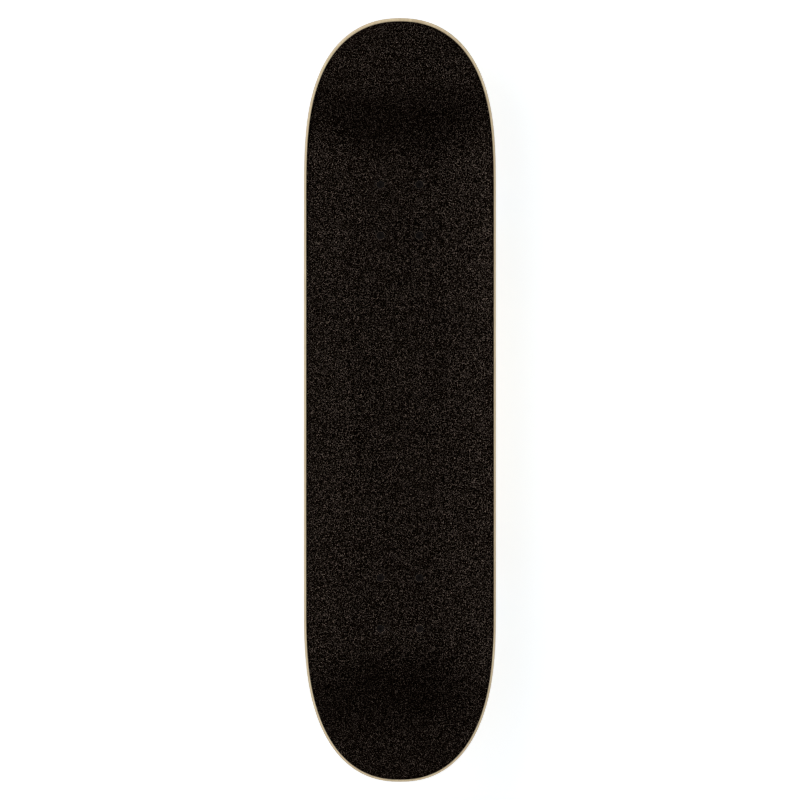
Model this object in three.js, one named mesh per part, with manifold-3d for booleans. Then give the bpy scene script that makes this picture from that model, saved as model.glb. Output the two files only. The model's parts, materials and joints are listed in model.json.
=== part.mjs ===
// A complete street skateboard: laminated maple deck with grip tape, two sprung trucks and four wheels.
// Millimetres. +X points at the nose, +Y to the rider's left, +Z up. The origin is on the ground,
// midway between the nose tip and the tail tip and midway between the left and right wheels.
import * as THREE from "three";
import { ConvexGeometry } from "three/addons/geometries/ConvexGeometry.js";
import { ParametricGeometry } from "three/addons/geometries/ParametricGeometry.js";
import { mergeVertices } from "three/addons/utils/BufferGeometryUtils.js";
import Module from "manifold-3d";

const wasm = await Module();
wasm.setup();

// ---------------------------------------------------------------- driving dimensions
const INCH = 25.4;
const DEG = Math.PI / 180;
const GAP = 0.3; // running gap between round pieces
const SEAT_GAP = 0.1; // gap between faces that are pressed together

// Deck plan
const DECK_WIDTH = 8 * INCH;
const DECK_LENGTH = 31.75 * INCH;
const WHEELBASE = 14.25 * INCH; // between the two inner rows of truck bolts
const BOLT_PITCH_X = 2.125 * INCH;
const BOLT_PITCH_Y = 1.625 * INCH;
const NOSE_LENGTH = 6.9 * INCH; // from the outer row of bolts to the tip
const HALF_LENGTH = DECK_LENGTH / 2;
// Each end of the plan is a superellipse quarter: (along / length)^m + (across / half width)^n = 1
const NOSE_END = { length: 193, m: 3.2, n: 2.18 };
const TAIL_END = { length: 185, m: 2.73, n: 2.27 };

// Deck section
const PLIES = 7;
const PLY = 1.5;
const DECK_THICKNESS = PLIES * PLY;
const EDGE_RADIUS = 3;
const FLAT_HALF_WIDTH = 28; // the middle of the deck is flat for the trucks
const CONCAVE_RISE = 8.5; // how far the side edges stand above the middle
const KICK_CONCAVE_SHARE = 0.45; // share of the concave that carries on up the kicks
const NOSE_KICK = { start: 14, radius: 260, angle: 21 * DEG }; // start is measured past the outer bolts
const TAIL_KICK = { start: 9, radius: 290, angle: 20 * DEG };
const GRIP_THICKNESS = 0.8; // the grip is trimmed where the rounded edge begins
const GRIP_GAP = 0.2; // the layer of glue under the grip

// Truck, in its own frame: origin in the middle of its four bolt holes on the mounting face,
// +X towards the middle of the board, +Z up into the deck
const TRUCK_HEIGHT = 53.5; // mounting face to axle centre
const AXLE_OFFSET = -5.5;
const HANGER_HALF_WIDTH = (5.25 * INCH) / 2;
const PIVOT_ANGLE = 32 * DEG; // of the steering axis above the horizontal
const KINGPIN_TILT = 20 * DEG; // of the kingpin away from the vertical
const PIVOT_REACH = 40; // from the ring's centre to the pivot's centre
const RING_CENTRE = new THREE.Vector3(12, 0, -34);
const BASEPLATE = { length: 80, width: 55, thickness: 5.5, corner: 9 };
const KINGPIN_RADIUS = (0.375 * INCH) / 2;
const KINGPIN_HEX = 0.5625 * INCH;
const AXLE_RADIUS = (0.3125 * INCH) / 2;
const AXLE_HEX = 0.5 * INCH;
const AXLE_HALF_LENGTH = 101;
const BOLT_RADIUS = 2.4;
const BOLT_HEAD_RADIUS = 4.5;
const BOLT_LENGTH = INCH;
const BOLT_SOCKET = 0.125 * INCH;
const LOCKNUT_HEX = 0.375 * INCH;
const LOCKNUT_HEIGHT = 5.8;

// Wheel and its two bearings
const WHEEL_RADIUS = 26;
const WHEEL_HALF_WIDTH = 15.5;
const TREAD_HALF_WIDTH = 9.5;
const BEARING = { outer: 11, race: 6, width: 7 };
const SPACER_LENGTH = 10;
const SPEED_RING = 0.9;

// Heights above the ground
const MOUNT_FACE_Z = WHEEL_RADIUS + TRUCK_HEIGHT;
const DECK_TOP_Z = MOUNT_FACE_Z + DECK_THICKNESS;

// Where the bolts and trucks are along the board
const NOSE_BOLTS_X = HALF_LENGTH - NOSE_LENGTH;
const NOSE_TRUCK_X = NOSE_BOLTS_X - BOLT_PITCH_X / 2;
const TAIL_TRUCK_X = NOSE_TRUCK_X - BOLT_PITCH_X - WHEELBASE;
const TAIL_BOLTS_X = TAIL_TRUCK_X - BOLT_PITCH_X / 2;

// Round pieces are drawn with these numbers of sides
const SIDES = { wheel: 36, bearing: 18, pin: 12, bolt: 8, truck: 20 };

// ---------------------------------------------------------------- materials
const finish = (color, roughness, metalness) =>
  new THREE.MeshStandardMaterial({ color, roughness, metalness });
const MAPLE = finish(0xc8a777, 0.5, 0);
const GRIT = finish(0x14120f, 0.9, 0);
const BLACK_STEEL = finish(0x1a1a1c, 0.4, 0.8);
const CAST_ALUMINIUM = finish(0xb9bcc0, 0.38, 1);
const STEEL = finish(0xa9abae, 0.3, 1);
const AMBER_URETHANE = finish(0xc77a2a, 0.4, 0);
const BLACK_URETHANE = finish(0x202020, 0.6, 0);
const WHITE_URETHANE = finish(0xe9e4d6, 0.45, 0);

// ---------------------------------------------------------------- solids
// A closed mesh as a manifold-3d solid, with the triangles that collapse at a lathe's axis left out.
function solid(geometry) {
  const bare = geometry.clone();
  bare.deleteAttribute("normal");
  bare.deleteAttribute("uv");
  const merged = mergeVertices(bare, 1e-3);
  const corners = [];
  const index = merged.index.array;
  for (let i = 0; i < index.length; i += 3) {
    const [a, b, c] = [index[i], index[i + 1], index[i + 2]];
    if (a !== b && b !== c && c !== a) corners.push(a, b, c);
  }
  return new wasm.Manifold(
    new wasm.Mesh({
      numProp: 3,
      vertProperties: merged.attributes.position.array,
      triVerts: new Uint32Array(corners),
    }),
  );
}

const joined = (first, ...others) => others.reduce((sum, next) => sum.add(next), first);
const cut = (body, ...tools) => tools.reduce((rest, tool) => rest.subtract(tool), body);

function meshOf(name, made, material) {
  const { vertProperties, triVerts } = made.getMesh();
  const geometry = new THREE.BufferGeometry();
  geometry.setAttribute("position", new THREE.BufferAttribute(vertProperties, 3));
  geometry.setIndex(new THREE.BufferAttribute(triVerts, 1));
  geometry.computeVertexNormals();
  const mesh = new THREE.Mesh(geometry, material);
  mesh.name = name;
  return mesh;
}

const vector = (x, y, z) => new THREE.Vector3(x, y, z);
const ACROSS = vector(0, 1, 0);
const ALONG = vector(1, 0, 0);
const SKYWARD = vector(0, 0, 1);
const DOWN = vector(0, 0, -1);
const past = (point, direction, distance) => point.clone().addScaledVector(direction, distance);

// A geometry drawn about the Y axis, turned to run along a direction with its origin at a point.
function turned(geometry, direction, point) {
  const turn = new THREE.Quaternion().setFromUnitVectors(ACROSS, direction);
  return geometry.applyQuaternion(turn).translate(point.x, point.y, point.z);
}

// A solid of revolution. The profile is [radius, height] pairs, walked so that the outside goes upwards.
// It starts half a facet round, so that the middle of a facet, not an edge, is lowest.
function revolved(profile, sides, direction, point) {
  const points = profile.map(([r, h]) => new THREE.Vector2(r, h));
  const lathe = new THREE.LatheGeometry(points, sides, Math.PI / sides);
  return solid(turned(lathe, direction, point));
}

// A rod or bore from height a to height b along a direction through a point.
const rod = (radius, a, b, sides, direction, point) =>
  revolved([[0, a], [radius, a], [radius, b], [0, b]], sides, direction, point);

// A washer or bush from height a to height b.
const tube = (inner, outer, a, b, sides, direction, point) =>
  revolved([[inner, a], [outer, a], [outer, b], [inner, b], [inner, a]], sides, direction, point);

// A hexagonal prism, given by its size across the flats.
function hexagon(acrossFlats, a, b, direction, point) {
  const radius = acrossFlats / 2 / Math.cos(30 * DEG);
  const prism = new THREE.CylinderGeometry(radius, radius, b - a, 6).translate(0, (a + b) / 2, 0);
  return solid(turned(prism, direction, point));
}

// A hexagonal nut: a prism with its top corners chamfered and, on a lock nut, a round collar on top.
function nut(acrossFlats, bore, a, b, collar, direction, point) {
  const corner = acrossFlats / 2 / Math.cos(30 * DEG);
  const shoulder = b - collar;
  const chamfer = (corner - acrossFlats / 2) * 0.9;
  const envelope = [
    [0, a],
    [corner + 0.1, a],
    [corner + 0.1, shoulder - chamfer],
    [acrossFlats / 2, shoulder],
    [0, shoulder],
  ];
  const sides = SIDES.pin;
  let body = hexagon(acrossFlats, a, shoulder, direction, point).intersect(
    revolved(envelope, sides, direction, point),
  );
  if (collar > 0)
    body = body.add(rod(acrossFlats * 0.44, shoulder - 0.2, b, sides, direction, point));
  return cut(body, rod(bore, a - 1, b + 1, sides, direction, point));
}

// Points on a circle, for the corners of a hull.
function circle(centre, direction, radius, count) {
  const turn = new THREE.Quaternion().setFromUnitVectors(ACROSS, direction);
  return Array.from({ length: count }, (_, i) => {
    const angle = (i / count) * 2 * Math.PI;
    return vector(radius * Math.cos(angle), 0, radius * Math.sin(angle))
      .applyQuaternion(turn)
      .add(centre);
  });
}

const hull = (...groups) => solid(new ConvexGeometry(groups.flat()));

// ---------------------------------------------------------------- deck shape
// Height of a kick above the flat at a distance past the point where it starts to bend, and its slope.
function kickRise(distance, { radius, angle }) {
  if (distance <= 0) return { rise: 0, slope: 0 };
  const bend = radius * Math.sin(angle);
  if (distance < bend) {
    const turn = Math.asin(distance / radius);
    return { rise: radius * (1 - Math.cos(turn)), slope: Math.tan(turn) };
  }
  const slope = Math.tan(angle);
  return { rise: radius * (1 - Math.cos(angle)) + (distance - bend) * slope, slope };
}

// Height of the deck's top surface over a point of the plan, and how steeply it stands there.
function deckTop(x, y) {
  const nose = x > 0;
  const distance = nose
    ? x - NOSE_BOLTS_X - NOSE_KICK.start
    : TAIL_BOLTS_X - TAIL_KICK.start - x;
  const kick = nose ? NOSE_KICK : TAIL_KICK;
  const { rise, slope } = kickRise(distance, kick);
  const fade = Math.min(Math.max(distance / (kick.radius * Math.sin(kick.angle)), 0), 1);
  const concave = CONCAVE_RISE * (1 - (1 - KICK_CONCAVE_SHARE) * fade);
  const across = Math.max(Math.abs(y) - FLAT_HALF_WIDTH, 0) / (DECK_WIDTH / 2 - FLAT_HALF_WIDTH);
  return { z: DECK_TOP_Z + rise + concave * across ** 2, slope };
}

// The plan's edge on the left side: t runs from 0 at the nose tip to 1 at the tail tip.
const NOSE_SHARE = 0.36;
const TAIL_SHARE = 0.64;
function planEdge(t) {
  const halfWidth = DECK_WIDTH / 2;
  const noseStart = HALF_LENGTH - NOSE_END.length;
  const tailStart = TAIL_END.length - HALF_LENGTH;
  if (t > NOSE_SHARE && t < TAIL_SHARE) {
    const along = (t - NOSE_SHARE) / (TAIL_SHARE - NOSE_SHARE);
    return new THREE.Vector2(noseStart + (tailStart - noseStart) * along, halfWidth);
  }
  const nose = t <= NOSE_SHARE;
  const end = nose ? NOSE_END : TAIL_END;
  const turn = ((nose ? t / NOSE_SHARE : (1 - t) / (1 - TAIL_SHARE)) * Math.PI) / 2;
  const along = end.length * Math.cos(turn) ** (2 / end.m);
  const across = halfWidth * Math.sin(turn) ** (2 / end.n);
  return new THREE.Vector2(nose ? noseStart + along : tailStart - along, Math.abs(across));
}

// The plan's edge all the way round, moved inwards. u runs from 0 to 1 and starts at the nose tip.
function planOutline(u, inset) {
  const left = u <= 0.5;
  const t = left ? 2 * u : 2 - 2 * u;
  const step = 1e-4;
  const here = planEdge(t);
  const tangent = planEdge(Math.min(t + step, 1)).sub(planEdge(Math.max(t - step, 0)));
  if (t < step || t > 1 - step) tangent.set(0, t < step ? 1 : -1);
  tangent.normalize();
  const point = new THREE.Vector2(here.x + tangent.y * -inset, here.y + tangent.x * inset);
  return new THREE.Vector2(point.x, left ? point.y : -point.y);
}

// The plan is filled by lines that run from its edge to a spine along the middle.
const SPINE_END = HALF_LENGTH - 72;
function planPoint(u, share, inset) {
  const edge = planOutline(u, inset);
  const spine = Math.min(Math.max(edge.x, -SPINE_END), SPINE_END);
  return new THREE.Vector2(spine + (edge.x - spine) * share, edge.y * share);
}

// A sheet that follows the deck's top surface, given by rings from the middle of its underside, round
// its edge, to the middle of its top. Each ring is {share, inset, depth}: how far out it is from the
// spine to the edge, how far in from the plan's edge that edge is, and how deep below the deck's top.
// A sheet that lies on another is mirrored, so that the facets of its underside match those it lies on.
function sheet(rings, mirrored) {
  const place = (u, v, target) => {
    const ring = rings[Math.round(v * (rings.length - 1))];
    const round = (mirrored ? 1 - u : u) % 1;
    const plan = planPoint(round, ring.share, ring.inset);
    const { z, slope } = deckTop(plan.x, plan.y);
    target.set(plan.x, plan.y, z - ring.depth * Math.hypot(1, ring.depth > 0 ? slope : 0));
  };
  const geometry = new ParametricGeometry(place, DECK_STATIONS, rings.length - 1);
  if (mirrored) geometry.index.array.reverse();
  return solid(geometry);
}

const DECK_STATIONS = 72;
const FIELD_SHARES = [0, FLAT_HALF_WIDTH / (DECK_WIDTH / 2), 0.53, 0.77, 1];

function boltPlaces() {
  const places = [];
  for (const [end, middle] of [["nose", NOSE_TRUCK_X], ["tail", TAIL_TRUCK_X]])
    [[-1, 1], [1, 1], [-1, -1], [1, -1]].forEach(([along, side], i) =>
      places.push({
        end,
        number: i + 1,
        x: middle + (along * BOLT_PITCH_X) / 2,
        y: (side * BOLT_PITCH_Y) / 2,
      }),
    );
  return places;
}

// ---------------------------------------------------------------- deck and grip
const HEAD_DEPTH = 2.4;
const HEAD_TOP_Z = DECK_TOP_Z + GRIP_GAP + GRIP_THICKNESS - 0.2;

function makeDeck() {
  const corner = EDGE_RADIUS * (1 - Math.SQRT1_2);
  const field = (depth) =>
    FIELD_SHARES.map((share) => ({ share, inset: EDGE_RADIUS, depth }));
  const rings = [
    ...field(DECK_THICKNESS),
    { share: 1, inset: corner, depth: DECK_THICKNESS - corner },
    { share: 1, inset: 0, depth: DECK_THICKNESS - EDGE_RADIUS },
    { share: 1, inset: 0, depth: EDGE_RADIUS },
    { share: 1, inset: corner, depth: corner },
    ...field(0).reverse(),
  ];
  const bore = BOLT_RADIUS + GAP;
  const sink = BOLT_HEAD_RADIUS + GAP;
  const holes = boltPlaces().map(({ x, y }) =>
    revolved(
      [
        [0, -2],
        [sink, -2],
        [sink, HEAD_TOP_Z - DECK_TOP_Z + 0.4],
        [bore, HEAD_TOP_Z - DECK_TOP_Z + 0.4 + HEAD_DEPTH],
        [bore, DECK_THICKNESS + 2],
        [0, DECK_THICKNESS + 2],
      ],
      SIDES.bolt,
      DOWN,
      vector(x, y, DECK_TOP_Z),
    ),
  );
  return meshOf("deck", cut(sheet(rings, false), ...holes), MAPLE);
}

function makeGrip() {
  const inset = EDGE_RADIUS;
  const field = (depth) => FIELD_SHARES.map((share) => ({ share, inset, depth }));
  const lower = -GRIP_GAP;
  const upper = -GRIP_GAP - GRIP_THICKNESS;
  const rings = [...field(lower), ...field(upper).reverse()];
  const holes = boltPlaces().map(({ x, y }) =>
    rod(BOLT_HEAD_RADIUS + GAP, -5, 5, SIDES.bolt, DOWN, vector(x, y, DECK_TOP_Z)),
  );
  return meshOf("grip_tape", cut(sheet(rings, true), ...holes), GRIT);
}

// ---------------------------------------------------------------- truck bolts
function makeBolt({ end, number, x, y }) {
  const profile = [
    [0, 0],
    [BOLT_HEAD_RADIUS, 0],
    [BOLT_HEAD_RADIUS, 0.4],
    [BOLT_RADIUS, HEAD_DEPTH],
    [BOLT_RADIUS, BOLT_LENGTH - 0.6],
    [BOLT_RADIUS - 0.6, BOLT_LENGTH],
    [0, BOLT_LENGTH],
  ];
  const top = vector(x, y, HEAD_TOP_Z);
  const body = revolved(profile, SIDES.bolt, DOWN, top);
  const socket = hexagon(BOLT_SOCKET, -1, 1.9, DOWN, top);
  return meshOf(`${end}_bolt_${number}`, cut(body, socket), BLACK_STEEL);
}

function makeLocknut({ end, number, x, y }) {
  const face = vector(x, y, MOUNT_FACE_Z - BASEPLATE.thickness - SEAT_GAP);
  const made = nut(LOCKNUT_HEX, BOLT_RADIUS + GAP, 0, LOCKNUT_HEIGHT, 1.6, DOWN, face);
  return meshOf(`${end}_locknut_${number}`, made, BLACK_STEEL);
}

// ---------------------------------------------------------------- truck: what is fixed to the deck
const PIVOT_AXIS = vector(-Math.cos(PIVOT_ANGLE), 0, Math.sin(PIVOT_ANGLE)); // ring to pivot cup
const KINGPIN_AXIS = vector(Math.sin(KINGPIN_TILT), 0, -Math.cos(KINGPIN_TILT)); // towards the road
const PIVOT_CENTRE = past(RING_CENTRE, PIVOT_AXIS, PIVOT_REACH);
const AXLE_CENTRE = vector(AXLE_OFFSET, 0, -TRUCK_HEIGHT);

// Stations along the kingpin, from the ring's centre towards the road
const RING = { half: 6, web: 3, outer: 17, seat: 13, bore: 7.6 };
const BUSHING_RADIUS = 12.2;
const BOARD_BUSHING = { from: -18.6, to: -(RING.web + SEAT_GAP) };
const ROAD_BUSHING = { from: RING.web + SEAT_GAP, to: 14.6 };
const WASHER = 2;
const BOARD_WASHER = { from: BOARD_BUSHING.from - SEAT_GAP - WASHER, radius: 13.2 };
const ROAD_WASHER = { from: ROAD_BUSHING.to + SEAT_GAP, radius: 11 };
const BASE_SEAT = BOARD_WASHER.from - SEAT_GAP;
const KINGPIN_NUT = { from: ROAD_WASHER.from + WASHER + SEAT_GAP, height: 8.4 };
const KINGPIN_END = KINGPIN_NUT.from + KINGPIN_NUT.height + 1.8;
const KINGPIN_HEAD = { from: -31.6, to: -26.4 };

// Pivot cup and the stem in it, along the steering axis from the pivot's centre
const STEM_RADIUS = 6;
const CUP = { bore: 6.4, outer: 7.7, mouth: -8, floor: 7.2 };

function roundedPlate({ length, width, thickness, corner }) {
  const [a, b] = [length / 2 - corner, width / 2 - corner];
  const shape = new THREE.Shape();
  shape.absarc(a, b, corner, 0, 90 * DEG);
  shape.absarc(-a, b, corner, 90 * DEG, 180 * DEG);
  shape.absarc(-a, -b, corner, 180 * DEG, 270 * DEG);
  shape.absarc(a, -b, corner, 270 * DEG, 360 * DEG);
  const plate = new THREE.ExtrudeGeometry(shape, {
    depth: thickness,
    bevelEnabled: false,
    curveSegments: 6,
  });
  return solid(plate.translate(0, 0, -thickness));
}

function makeBaseplate() {
  const sides = SIDES.truck;
  const plate = roundedPlate(BASEPLATE);
  const shallow = -BASEPLATE.thickness + 0.5;
  const kingpinBoss = hull(
    circle(past(RING_CENTRE, KINGPIN_AXIS, BASE_SEAT), KINGPIN_AXIS, 13.6, sides),
    circle(vector(4, 0, shallow), SKYWARD, 21, sides),
    circle(vector(4, 0, -1), SKYWARD, 21, sides),
  );
  const pivotBoss = hull(
    circle(past(PIVOT_CENTRE, PIVOT_AXIS, CUP.mouth + 1.2), PIVOT_AXIS, 11.2, sides),
    circle(past(PIVOT_CENTRE, PIVOT_AXIS, CUP.floor + 3), PIVOT_AXIS, 10.6, sides),
    circle(vector(-27, 0, shallow), SKYWARD, 12.5, sides),
  );
  const bridge = hull(
    circle(vector(-22, 0, -8), ALONG, 7, 8),
    circle(vector(4, 0, -8), ALONG, 7, 8),
  );
  const below = solid(new THREE.BoxGeometry(200, 200, 60).translate(0, 0, -30));
  const cupBore = rod(
    CUP.outer + GAP,
    CUP.mouth - 20,
    CUP.floor + GAP,
    sides,
    PIVOT_AXIS,
    PIVOT_CENTRE,
  );
  const kingpinBore = rod(KINGPIN_RADIUS + GAP, -60, 0, SIDES.pin, KINGPIN_AXIS, RING_CENTRE);
  const headPocket = rod(9.4, -60, KINGPIN_HEAD.to + SEAT_GAP, sides, KINGPIN_AXIS, RING_CENTRE);
  const boltHoles = [[-1, -1], [-1, 1], [1, -1], [1, 1]].map(([i, j]) =>
    rod(
      BOLT_RADIUS + GAP,
      -2,
      20,
      SIDES.bolt,
      DOWN,
      vector((i * BOLT_PITCH_X) / 2, (j * BOLT_PITCH_Y) / 2, 0),
    ),
  );
  const bushingRoom = rod(16.5, BASE_SEAT, 20, sides, KINGPIN_AXIS, RING_CENTRE);
  const body = joined(plate, kingpinBoss, pivotBoss, bridge).intersect(below);
  return cut(body, cupBore, kingpinBore, headPocket, bushingRoom, ...boltHoles);
}

function makePivotCup() {
  const { bore, outer, mouth, floor } = CUP;
  const dome = [0, 30, 60, 90].map((a) => [
    bore * Math.sin(a * DEG),
    bore * Math.cos(a * DEG),
  ]);
  const profile = [...dome, [bore, mouth], [outer, mouth], [outer, floor], [0, floor]];
  return revolved(profile, SIDES.truck, PIVOT_AXIS, PIVOT_CENTRE);
}

function makeKingpin() {
  const shank = [
    [0, KINGPIN_HEAD.to - 0.2],
    [KINGPIN_RADIUS, KINGPIN_HEAD.to - 0.2],
    [KINGPIN_RADIUS, KINGPIN_END - 0.8],
    [KINGPIN_RADIUS - 0.8, KINGPIN_END],
    [0, KINGPIN_END],
  ];
  const { from, to } = KINGPIN_HEAD;
  return joined(
    revolved(shank, SIDES.pin, KINGPIN_AXIS, RING_CENTRE),
    hexagon(KINGPIN_HEX, from, to, KINGPIN_AXIS, RING_CENTRE),
  );
}

// A barrel bushing on the board side, and a cone on the road side.
function makeBushing(profile) {
  const bore = KINGPIN_RADIUS + GAP;
  const heights = profile.map(([, h]) => h);
  const [low, high] = [heights[0], heights[heights.length - 1]];
  const closed = [[bore, low], ...profile, [bore, high], [bore, low]];
  return revolved(closed, SIDES.truck, KINGPIN_AXIS, RING_CENTRE);
}

function boardBushing() {
  const { from, to } = BOARD_BUSHING;
  const middle = (from + to) / 2;
  return makeBushing([
    [BUSHING_RADIUS - 1, from],
    [BUSHING_RADIUS, from + 2],
    [BUSHING_RADIUS - 1.2, middle],
    [BUSHING_RADIUS, to - 2],
    [BUSHING_RADIUS - 1, to],
  ]);
}

function roadBushing() {
  const { from, to } = ROAD_BUSHING;
  return makeBushing([
    [BUSHING_RADIUS - 1, from],
    [BUSHING_RADIUS, from + 1.5],
    [BUSHING_RADIUS - 0.2, from + 3.5],
    [9.2, to - 1],
    [8.4, to],
  ]);
}

function makeWasher({ from, radius }) {
  const bore = KINGPIN_RADIUS + GAP;
  return tube(bore, radius, from, from + WASHER, SIDES.truck, KINGPIN_AXIS, RING_CENTRE);
}

// ---------------------------------------------------------------- truck: what steers
function makeHanger() {
  const sides = SIDES.truck;
  const end = HANGER_HALF_WIDTH;
  const arm = [[0, -end], [8.3, -end], [8.3, 9 - end], [10, 20 - end], [10.5, 0]];
  const beamProfile = [...arm, ...arm.slice(0, -1).reverse().map(([r, h]) => [r, -h])];
  const beam = revolved(beamProfile, sides, ACROSS, AXLE_CENTRE);

  const ringFace = (s) => circle(past(RING_CENTRE, KINGPIN_AXIS, s), KINGPIN_AXIS, 13, 20);
  const stemFoot = past(PIVOT_CENTRE, PIVOT_AXIS, CUP.mouth - 4);
  const web = hull(
    circle(stemFoot, PIVOT_AXIS, 6.6, 16),
    circle(past(AXLE_CENTRE, ACROSS, 42), ACROSS, 8.6, 16),
    circle(past(AXLE_CENTRE, ACROSS, -42), ACROSS, 8.6, 16),
    ringFace(-3),
    ringFace(3),
  );
  const ring = rod(RING.outer, -RING.half, RING.half, sides, KINGPIN_AXIS, RING_CENTRE);
  const stemProfile = [[0, -24], [STEM_RADIUS, -24], [STEM_RADIUS, 0]];
  for (const a of [60, 30, 0])
    stemProfile.push([STEM_RADIUS * Math.sin(a * DEG), STEM_RADIUS * Math.cos(a * DEG)]);
  const stem = revolved(stemProfile, 16, PIVOT_AXIS, PIVOT_CENTRE);

  const bushingRoom = (radius, a, b) => rod(radius, a, b, sides, KINGPIN_AXIS, RING_CENTRE);
  return cut(
    joined(beam, web, ring, stem),
    bushingRoom(RING.bore, -20, 20),
    bushingRoom(RING.seat, -RING.half - 1, -RING.web),
    bushingRoom(RING.seat, RING.web, RING.half + 1),
    bushingRoom(16.5, -60, -RING.half),
    bushingRoom(13.6, RING.half, 60),
    rod(AXLE_RADIUS + GAP, -end - 1, end + 1, SIDES.pin, ACROSS, AXLE_CENTRE),
  );
}

function makeAxle() {
  const tip = AXLE_HALF_LENGTH;
  const profile = [
    [0, -tip],
    [AXLE_RADIUS - 0.7, -tip],
    [AXLE_RADIUS, 0.7 - tip],
    [AXLE_RADIUS, tip - 0.7],
    [AXLE_RADIUS - 0.7, tip],
    [0, tip],
  ];
  return revolved(profile, SIDES.pin, ACROSS, AXLE_CENTRE);
}

// ---------------------------------------------------------------- wheels, measured outwards along the axle
const SLEEVE_START = HANGER_HALF_WIDTH + SEAT_GAP;
const INNER_BEARING_AT = SLEEVE_START + SPEED_RING;
const OUTER_BEARING_AT = INNER_BEARING_AT + BEARING.width + SPACER_LENGTH;
const SLEEVE_END = OUTER_BEARING_AT + BEARING.width + SPEED_RING;
const WHEEL_MIDDLE = (INNER_BEARING_AT + OUTER_BEARING_AT + BEARING.width) / 2;
const AXLE_NUT_HEIGHT = 7;

function makeWheel(outwards) {
  const half = WHEEL_HALF_WIDTH;
  const seat = BEARING.outer + 0.15;
  const seatFloor = SPACER_LENGTH / 2 - 0.15;
  const lip = 2.2;
  const tread = WHEEL_RADIUS / Math.cos(Math.PI / SIDES.wheel); // so that the flats touch the ground
  const shoulder = [0, 45, 90].map((a) => [
    tread - 7 * (1 - Math.cos(a * DEG)),
    TREAD_HALF_WIDTH + (half - TREAD_HALF_WIDTH) * Math.sin(a * DEG),
  ]);
  const side = [
    ...shoulder,
    [seat + 3.2, half - 1.2],
    [seat + lip, half - lip],
    [seat, half - lip - 1],
    [seat, seatFloor],
    [8.6, seatFloor],
  ];
  const profile = [
    ...side.map(([r, h]) => [r, -h]).reverse(),
    ...side,
    [8.6, -seatFloor],
  ];
  return revolved(profile, SIDES.wheel, outwards, past(AXLE_CENTRE, outwards, WHEEL_MIDDLE));
}

// The bearing's outer race and shields, which turn with the wheel.
function makeBearing(outwards, at) {
  const { outer, race, width } = BEARING;
  return tube(race + 0.4, outer, at, at + width, SIDES.bearing, outwards, AXLE_CENTRE);
}

// What the axle nut clamps against the hanger, and so doesn't turn: a speed ring, an inner race,
// the spacer, the other inner race and the other speed ring.
function makeSleeve(outwards) {
  const bore = AXLE_RADIUS + GAP;
  const { race, width } = BEARING;
  const [inner, outer] = [INNER_BEARING_AT, OUTER_BEARING_AT];
  const profile = [
    [bore, SLEEVE_START],
    [5.5, SLEEVE_START],
    [5.5, inner],
    [race, inner],
    [race, inner + width],
    [5.2, inner + width],
    [5.2, outer],
    [race, outer],
    [race, outer + width],
    [5.5, outer + width],
    [5.5, SLEEVE_END],
    [bore, SLEEVE_END],
    [bore, SLEEVE_START],
  ];
  return revolved(profile, SIDES.pin, outwards, AXLE_CENTRE);
}

function makeAxleNut(outwards) {
  const from = SLEEVE_END + SEAT_GAP;
  const bore = AXLE_RADIUS + GAP;
  return nut(AXLE_HEX, bore, from, from + AXLE_NUT_HEIGHT, 2, outwards, AXLE_CENTRE);
}

// ---------------------------------------------------------------- assembly
function makeTruck(end) {
  const truck = new THREE.Group();
  const nose = end === "nose";
  truck.position.set(nose ? NOSE_TRUCK_X : TAIL_TRUCK_X, 0, MOUNT_FACE_Z);
  truck.rotation.z = nose ? Math.PI : 0;
  const add = (name, made, material) => truck.add(meshOf(`${end}_${name}`, made, material));

  add("baseplate", makeBaseplate(), CAST_ALUMINIUM);
  add("pivot_cup", makePivotCup(), BLACK_URETHANE);
  add("kingpin", makeKingpin(), STEEL);
  add("board_washer", makeWasher(BOARD_WASHER), STEEL);
  add("board_bushing", boardBushing(), AMBER_URETHANE);
  add("road_bushing", roadBushing(), AMBER_URETHANE);
  add("road_washer", makeWasher(ROAD_WASHER), STEEL);
  const { from, height } = KINGPIN_NUT;
  const bore = KINGPIN_RADIUS + GAP;
  const kingpinNut = nut(KINGPIN_HEX, bore, from, from + height, 2, KINGPIN_AXIS, RING_CENTRE);
  add("kingpin_nut", kingpinNut, STEEL);
  add("hanger", makeHanger(), CAST_ALUMINIUM);
  add("axle", makeAxle(), STEEL);

  for (const direction of [1, -1]) {
    const outwards = vector(0, direction, 0);
    const side = (direction > 0) === nose ? "right" : "left";
    add(`${side}_sleeve`, makeSleeve(outwards), STEEL);
    add(`${side}_inner_bearing`, makeBearing(outwards, INNER_BEARING_AT), STEEL);
    add(`${side}_outer_bearing`, makeBearing(outwards, OUTER_BEARING_AT), STEEL);
    add(`${side}_wheel`, makeWheel(outwards), WHITE_URETHANE);
    add(`${side}_axle_nut`, makeAxleNut(outwards), STEEL);
  }
  return truck;
}

const skateboard = new THREE.Group();
skateboard.add(makeDeck(), makeGrip());
for (const place of boltPlaces()) skateboard.add(makeBolt(place), makeLocknut(place));
skateboard.add(makeTruck("nose"), makeTruck("tail"));

export default skateboard;
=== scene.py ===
"""The finished look of a street skateboard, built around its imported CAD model.

Shapes are drawn in millimetres and become metres when a piece is made. A truck's pieces are drawn in the
truck's own frame, as on a bench: origin on the mounting face, +X towards the middle of the board.
"""

import json
import math

import bmesh
import bpy
from mathutils import Matrix, Vector


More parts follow.
